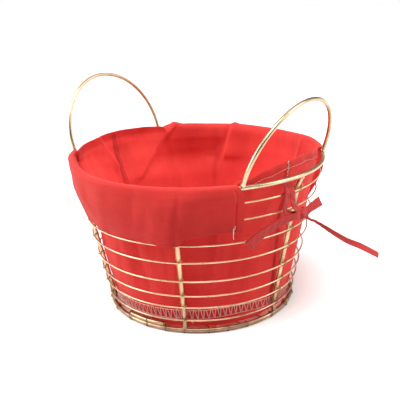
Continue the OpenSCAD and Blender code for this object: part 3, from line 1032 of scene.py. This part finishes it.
def make_bottom():
    """The round bottom of the liner, sagging a little between the base wires."""
    rings, spokes = 40, 120
    verts, uvs = [], []
    for i in range(rings + 1):
        r = BOTTOM_R * i / rings
        for k in range(spokes):
            a = 360 * k / spokes
            p = polar(a, r, 0)
            sag = 0.5 * math.cos(p.x * 2 * math.pi / 22) * math.cos(p.y * 2 * math.pi / 22)
            lift = smooth_step(r, 86, BOTTOM_R) * 2.9
            z = 5.6 + 0.25 * sag * (1 - smooth_step(r, 70, 86)) + lift
            z += 0.3 * ripple_mid(a + r) * smooth_step(r, 20, 60) * (1 - smooth_step(r, 80, 88))
            verts.append(Vector((p.x, p.y, z)))
            uvs.append((p.x * MM, p.y * MM))
    sheet = make_mesh("liner_bottom", verts, grid_faces(rings + 1, spokes), COTTON, uvs)
    return finish_piece(sheet, "liner_cotton", "liner_bottom_panel")


bottom = make_bottom()

# ---------------- seams

SEAM_LOW = [(-180, 12), (-100, 12), (-62, 12.4), (-30, 15), (-7, 11), (60, 12), (180, 12)]
SEAM_HIGH = [(-180, 22), (-100, 21.5), (-62, 23), (-30, 24.4), (-7, 20), (60, 22), (180, 22)]


def outer_wall(angle, z, lift):
    """A point just outside the liner's wall."""
    p = wall_point(angle, z)
    return p + lie_out(p) * lift


def make_bottom_seam():
    """Overlock round the bottom: a strip of seam allowance turned up on the wall, with
    looped thread over it and a rail of thread along each edge."""
    strip_rows = 6
    verts, uvs = [], []
    count = 480
    for i in range(count):
        a = 360 * i / count - 180
        low, high = keyed(a, SEAM_LOW), keyed(a, SEAM_HIGH)
        for k in range(strip_rows + 1):
            z = low - 1.5 + (high - low + 1) * k / strip_rows
            puff = 0.7 + 0.25 * ripple_fine(a * 1.5 + k * 3)
            verts.append(outer_wall(a, z, puff))
            uvs.append((math.radians(a) * 92 * MM, z * MM))
    faces = grid_faces(count, strip_rows + 1, close_rows=True, close_columns=False)
    strip = make_mesh("bottom_seam_allowance", verts, faces, COTTON, uvs)
    finish_piece(strip, "liner_cotton")

    rng = random.Random(5)
    builder = Builder()
    pitch = 3.2  # degrees, close to 5 mm
    turns = round(360 / pitch)
    step = 360 / turns
    loops = []
    for i in range(turns):
        a = -180 + 360 * i / turns
        low, high = keyed(a, SEAM_LOW), keyed(a, SEAM_HIGH)
        top = high + rng.uniform(-0.5, 0.5)
        foot = low + rng.uniform(-0.4, 0.4)
        lean = step * rng.uniform(0.05, 0.3)
        loops += [
            outer_wall(a, foot, 1.15),
            outer_wall(a + lean * 0.5, (foot + top) / 2, 1.35),
            outer_wall(a + lean, top - 0.6, 1.3),
            outer_wall(a + step * 0.3, top, 1.3),
            outer_wall(a + step * 0.52, top - 0.7, 1.3),
            outer_wall(a + step * 0.7, (foot + top) / 2, 1.35),
        ]
    builder.tube(spline(loops, 3), 0.38, 6)
    for keys, shift in ((SEAM_LOW, 0.0), (SEAM_HIGH, -0.4)):
        rail = [outer_wall(a, keyed(a, keys) + shift + 0.25 * ripple_fine(a * 2), 1.2)
                for a in np.arange(-180, 180.1, 1.0)]
        builder.tube(rail, 0.3, 6)
    thread = builder.make("bottom_overlock", SEAM_PINK)
    return finish_piece(thread, "seam_thread", "bottom_seam_thread")


make_bottom_seam()


def seam_point(angle, z, lift):
    """A point beside the liner along a side seam, up to the hem's top."""
    if z <= SLIT_Z:
        p = wall_point(angle, z)
    else:
        column = hem_column(angle)[:HEM_ROWS]
        share = (z - SLIT_Z) / (column[-1].z - SLIT_Z) * HEM_ROWS - 1
        p = column[max(0, min(HEM_ROWS - 1, round(share)))].copy()
        p.z = z
    return p + lie_out(p) * lift


SEAM_FOOT_Z = 24.0  # a side seam starts above the bottom seam


def make_side_seam(name, node, angle, faces_out, material):
    """Overlock down a side seam: short slanted stitches either side of a straight one."""
    builder = Builder()
    top = keyed(angle, HEM_TOP) - 0.5
    z, step, half = SEAM_FOOT_Z, 2.6, 1.1
    lift = 0.9 if faces_out else -0.9
    while z < top - step:
        builder.tube([seam_point(angle - half, z, lift * 0.7),
                      seam_point(angle, z + 0.6, lift * 1.3),
                      seam_point(angle + half, z + 1.2, lift * 0.7)], 0.2, 6)
        z += step
    for shift in (-half, half):
        rail = [seam_point(angle + shift, h, lift * 0.8) for h in np.arange(SEAM_FOOT_Z, top, 1.5)]
        builder.tube(rail, 0.18, 6)
    seam = builder.make(name, material)
    return finish_piece(seam, "seam_thread", *([node] if node else []))


make_side_seam("side_seam_right", "side_seam_thread_right", SEAM_RIGHT, True, SEAM_TONE)
make_side_seam("side_seam_left", "side_seam_thread_left", SEAM_LEFT, True, SEAM_TONE)
make_side_seam("side_seam_left_inside", None, SEAM_LEFT, False, SEAM_RED)
make_side_seam("side_seam_right_inside", None, SEAM_RIGHT, False, SEAM_RED)


def make_seam_tack():
    """Pale hand stitches that close the top of the right side seam, over the hem."""
    builder = Builder()
    for k in range(7):
        z = 148 + 2.1 * k
        side = 0.5 if k % 2 else -0.5
        builder.tube([seam_point(SEAM_RIGHT + side, z, 1.2), seam_point(SEAM_RIGHT, z + 0.7, 1.8),
                      seam_point(SEAM_RIGHT - side * 0.4, z + 1.3, 1.2)], 0.32, 6)
    finish_piece(builder.make("side_seam_tack", SEAM_WHITE), "seam_thread")


make_seam_tack()


def stitch_row(builder, low, high, length, pitch, radius, place):
    """Stitches from one angle to another, each through three points that place gives."""
    angle = low
    while angle < high:
        ends = [place(a) for a in (angle, angle + length / 2, angle + length)]
        builder.tube(ends, radius, 6)
        angle += pitch


def hem_stitch_point(angle):
    p = hem_column(angle if angle < 180 else angle - 360)[HEM_ROWS + FOLD_BACK - 1]
    return p + lie_out(p) * 0.15 + Vector((0, 0, 1.0))


def cuff_stitch_point(angle):
    p = cuff_column(angle)[CUFF_ROWS - 5]
    return p + lie_out(p) * 0.02


def make_hem_stitches():
    """The row of stitches that holds each folded hem, standing and on the cuffs."""
    builder = Builder()
    for low, high in ((FRONT_CUFF[1] + 2, BACK_CUFF[0] - 0.8),
                      (BACK_CUFF[1] + 0.8, FRONT_CUFF[0] + 357)):
        stitch_row(builder, low, high, 1.1, 1.35, 0.18, hem_stitch_point)
    finish_piece(builder.make("hem_stitches", SEAM_PINK), "seam_thread")
    builder = Builder()
    for low, high in (FRONT_CUFF, BACK_CUFF):
        stitch_row(builder, low + 0.5, high - 1.2, 1.0, 1.3, 0.17, cuff_stitch_point)
    finish_piece(builder.make("cuff_stitches", SEAM_HIDDEN), "seam_thread")


make_hem_stitches()

# ---------------- ties

TIE_WIDTH = 7.5
TIES = {
    "right": {
        "front": [(-13.2, 118.6, 142.6), (-13.8, 122.5, 141), (-14.4, 125.4, 136.5),
                  (-15, 125, 128), (-14.6, 123.2, 119.5), (-11.8, 123.4, 114.8),
                  (-7.8, 124.8, 113)],
        "back": [(-11.2, 118.9, 142.2), (-11.5, 122.6, 140.4), (-12, 125.8, 135.6),
                 (-11.6, 125.8, 128), (-10.4, 125.6, 122), (-8.6, 126, 117.6),
                 (-6.2, 126.6, 114.2)],
        "bow": [(-7.6, 127.6, 112.4), (-10, 128, 113), (-13.6, 126.6, 112.4),
                (-17.6, 125, 110.4), (-21.6, 124, 107.6), (-26.4, 123.4, 103.2),
                (-30, 123, 98), (-31.8, 122.6, 94.6)],
        "end": [(-5.6, 127.6, 113.2), (-4, 128.2, 114.2), (-1, 129.3, 116.2),
                (1.8, 131, 118), (4.4, 132.6, 119.4)],
        "knot": (-5.6, 126.6, 112.8),
    },
    "left": {
        "front": [(176.5, 118.6, 142.6), (176.3, 122.5, 141), (176.1, 125.2, 136.5),
                  (175.6, 124.6, 128), (175.9, 122.8, 119.5), (178, 124.4, 114)],
        "back": [(179.8, 118.9, 142.2), (180, 122.6, 140.4), (180.1, 125.2, 135.6),
                 (180.4, 124.2, 128), (181.4, 124, 122), (181.2, 125.6, 116.4),
                 (180.4, 126.2, 113)],
        "bow": [(182.6, 127.4, 110.6), (185.5, 127, 109), (188.6, 125, 104),
                (190.4, 123.6, 96), (191, 122, 87.6), (190.6, 120.4, 79)],
        "end": [(178.6, 127, 111.6), (176.4, 127.4, 112.6), (173.6, 126.8, 113.2),
                (170, 126, 112), (166.8, 125.4, 109.6)],
        "knot": (179.5, 126.6, 111),
    },
}


def make_strap(side, part):
    """One of the two strands from the side seam over the top hoop to the knot."""
    line = spline([polar(*p) for p in TIES[side][part]], 8)
    seed = len(side) * 7 + len(part)
    frames = ribbon_frames(line, lambda s: 14 * math.sin(s * 4 + seed))
    return ribbon_mesh(f"tie_{side}_{part}_strand", line, frames, TIE_WIDTH * 0.80, 1.7,
                       TIE_COTTON, 0.3, seed)


def make_bow(side):
    """A flat bow: the strip runs out, turns back under itself and returns to the knot."""
    out_line = spline([polar(*p) for p in TIES[side]["bow"]], 8)
    frames = ribbon_frames(out_line, lambda s: -10 * math.sin(s * 3))
    gap = 2.0
    line, all_frames = list(out_line), list(frames)
    tip, (tip_side, tip_up) = out_line[-1], frames[-1]
    ahead = tip_up.cross(tip_side)
    if ahead.dot(out_line[-1] - out_line[-2]) < 0:
        ahead = -ahead
    for k in range(1, 8):
        w = math.pi * k / 8
        back_step, out_step = gap / 2 * (1 - math.cos(w)), gap / 2 * math.sin(w)
        line.append(tip - tip_up * back_step + ahead * out_step)
        all_frames.append((tip_side, tip_up * math.cos(w) + ahead * math.sin(w)))
    for i in range(len(out_line) - 1, 2, -1):
        side_v, up = frames[i]
        share = i / (len(out_line) - 1)
        line.append(out_line[i] - up * (gap * (0.35 + 0.65 * share)))
        all_frames.append((side_v, -up))
    count = len(out_line)
    total = len(line)

    def width(share):
        place = share * (total - 1) / count
        return TIE_WIDTH * (0.82 + 0.40 * smooth_step(min(place, 2 - place), 0.1, 0.9))

    return ribbon_mesh(f"tie_{side}_bow_loop", line, all_frames, width, 1.1, TIE_COTTON, 0.15,
                       len(side))


def make_knot(side):
    """A band pulled tight round the strands, over a rounded core of folded cloth."""
    angle, radius, height = TIES[side]["knot"]
    centre = polar(angle, radius - 0.6, height)
    outward = lie_out(centre)
    around = Vector((-outward.y, outward.x, 0))
    up = Vector((0, 0, 1))
    tilt = math.radians(24 if side == "right" else -20)
    along = around * math.cos(tilt) + up * math.sin(tilt)
    axis = -around * math.sin(tilt) + up * math.cos(tilt)
    rng = random.Random(3 + len(side))
    verts, uvs = [], []
    rings, spokes = 48, 22
    for i in range(rings):
        w = 2 * math.pi * i / rings
        pinch = 1 + 0.10 * math.sin(3 * w + 1) + 0.06 * math.sin(7 * w)
        middle = centre + (along * (3.6 * math.cos(w)) + outward * (2.9 * math.sin(w))) * pinch
        normal = (along * math.cos(w) * 2.5 + outward * math.sin(w) * 3.0).normalized()
        for k in range(spokes):
            v = 2 * math.pi * k / spokes
            c, s = math.cos(v), math.sin(v)
            half = 4.1 + 0.5 * math.sin(2 * w + 0.6)
            fold = 0.22 * math.sin(6 * v + 2 * w) + 0.12 * math.sin(11 * v - 3 * w)
            verts.append(middle + normal * ((1.5 + fold) * s)
                         + axis * (math.copysign(abs(c) ** 0.8, c) * half))
            uvs.append((w * 4 * MM, v * 2 * MM))
    faces = grid_faces(rings, spokes, close_rows=True)
    first, core_rings, core_spokes = len(verts), 17, 24
    for i in range(core_rings):
        t = math.pi * i / (core_rings - 1)
        for k in range(core_spokes):
            v = 2 * math.pi * k / core_spokes
            lump = 1 + 0.08 * math.sin(5 * v + 3 * t) + 0.05 * rng.uniform(-1, 1) * math.sin(t)
            round_it = along * (3.6 * math.cos(v)) + outward * (2.8 * math.sin(v))
            verts.append(centre + axis * (5.2 * math.cos(t)) + round_it * math.sin(t) * lump)
            uvs.append((v * 3 * MM, t * 4 * MM))
    faces += grid_faces(core_rings, core_spokes, first)
    return make_mesh(f"tie_{side}_knot_wrap", verts, faces, TIE_COTTON, uvs)


def make_tie(side):
    strands = [make_strap(side, part) for part in ("front", "back")]
    for strand in strands:
        finish_piece(strand, "tie_cotton", f"tie_{side}_strap")
    finish_piece(make_bow(side), "tie_cotton", f"tie_{side}_bow")
    finish_piece(make_knot(side), "tie_cotton", f"tie_{side}_knot")
    line = spline([polar(*p) for p in TIES[side]["end"]], 8)
    end = ribbon_mesh(f"tie_{side}_end", line, ribbon_frames(line, lambda s: -24 * s),
                      lambda s: TIE_WIDTH * (1.0 + 0.26 * s), 1.6, TIE_COTTON, 0.4, 9)
    finish_piece(end, "tie_cotton", f"tie_{side}_short_end")


make_tie("right")
make_tie("left")


def make_loose_threads():
    """Frayed thread ends at the front cuff's right corner and along the bottom seam."""
    rng = random.Random(12)
    builder = Builder()
    corner = Vector(cuff_column(-40.5)[CUFF_ROWS - 1]) + Vector((0, 0, 2.5))
    outward = lie_out(corner)
    around = Vector((-outward.y, outward.x, 0))
    corner += outward * 1.2
    # sideways and up from the cuff's corner
    strands = [
        [(0.3, 3.2), (1.4, 3.8), (1.2, 1.6), (0.2, 0.2), (0.1, -2.6), (-0.3, -5.4), (0.2, -8.2)],
        [(-2.0, 2.6), (-1.6, 3.8), (-0.4, 2.4), (0.0, 0.6), (-0.4, -1.6), (-0.1, -4.2)],
    ]
    for strand in strands:
        points = [corner + around * t + Vector((0, 0, h)) for t, h in strand]
        builder.tube(spline(points, 5), 0.26, 6)
    for angle in (-118, -112, -104, -66, -58):
        base = outer_wall(angle, 16, 1.4)
        points = [base]
        sway = polar(angle + 90, 1, 0)
        for _ in range(4):
            aside = sway * rng.uniform(-2, 2.4)
            points.append(points[-1] + aside + Vector((0, 0, rng.uniform(-3, 1.2))))
        builder.tube(spline(points, 4), 0.16, 6)
    # the seam allowance has frayed along the left of the front
    for angle in np.arange(-128, -84, 0.7):
        base = outer_wall(angle, 12.6, 1.1)
        sway = polar(angle + 90, 1, 0)
        low = outer_wall(angle, rng.uniform(5.2, 8), 1.2) + sway * rng.uniform(-1.6, 1.6)
        middle = (base + low) / 2 + lie_out(base) * rng.uniform(0.2, 1.0)
        builder.tube(spline([base, middle, low], 4), 0.2, 5)
    finish_piece(builder.make("loose_threads", SEAM_WHITE), "seam_thread")


make_loose_threads()
